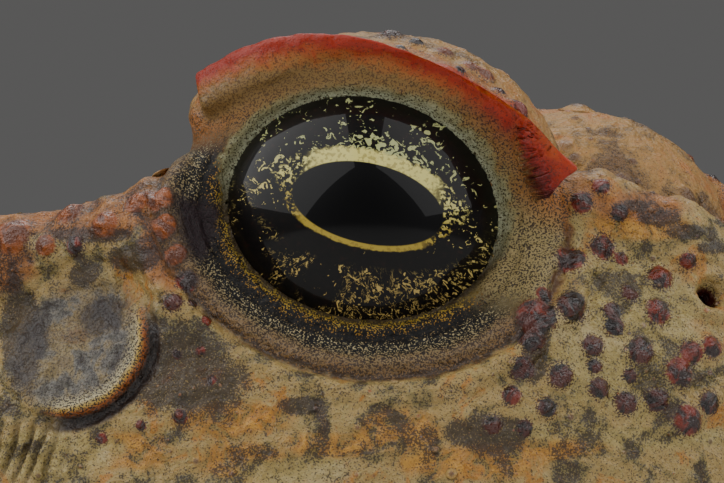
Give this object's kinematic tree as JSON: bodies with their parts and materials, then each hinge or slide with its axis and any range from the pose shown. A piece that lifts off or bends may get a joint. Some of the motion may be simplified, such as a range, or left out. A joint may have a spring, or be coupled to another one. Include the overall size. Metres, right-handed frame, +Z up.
{
  "type": "cane toad, life-size still model",
  "caption": "Cane toad sitting at rest with its head raised: a still, life-size model with a warty back, keeled eyelids, eardrums and large glands behind the head.",
  "frame": {"origin": "middle of the footprint on the floor, under the body", "axes": "+X towards the snout, +Y to the toad's left, +Z up"},
  "size_m": [0.1172, 0.1116, 0.0658],
  "materials": {
    "skin": "moist, warty brown skin, mottled olive, tan and rust",
    "eye": "wet black iris flecked with gold, under a clear cornea"
  },
  "bodies": {
    "root": {"torso": "skin", "head": "skin", "lower_jaw": "skin", "parotoid_left": "skin", "parotoid_right": "skin", "tympanum_left": "skin", "tympanum_right": "skin", "upper_arm_left": "skin", "upper_arm_right": "skin", "forearm_left": "skin", "forearm_right": "skin", "hand_left": "skin", "hand_right": "skin", "thigh_left": "skin", "thigh_right": "skin", "shank_left": "skin", "shank_right": "skin", "foot_left": "skin", "foot_right": "skin", "eye_left": "eye", "eye_right": "eye"}
  },
  "joints": []
}
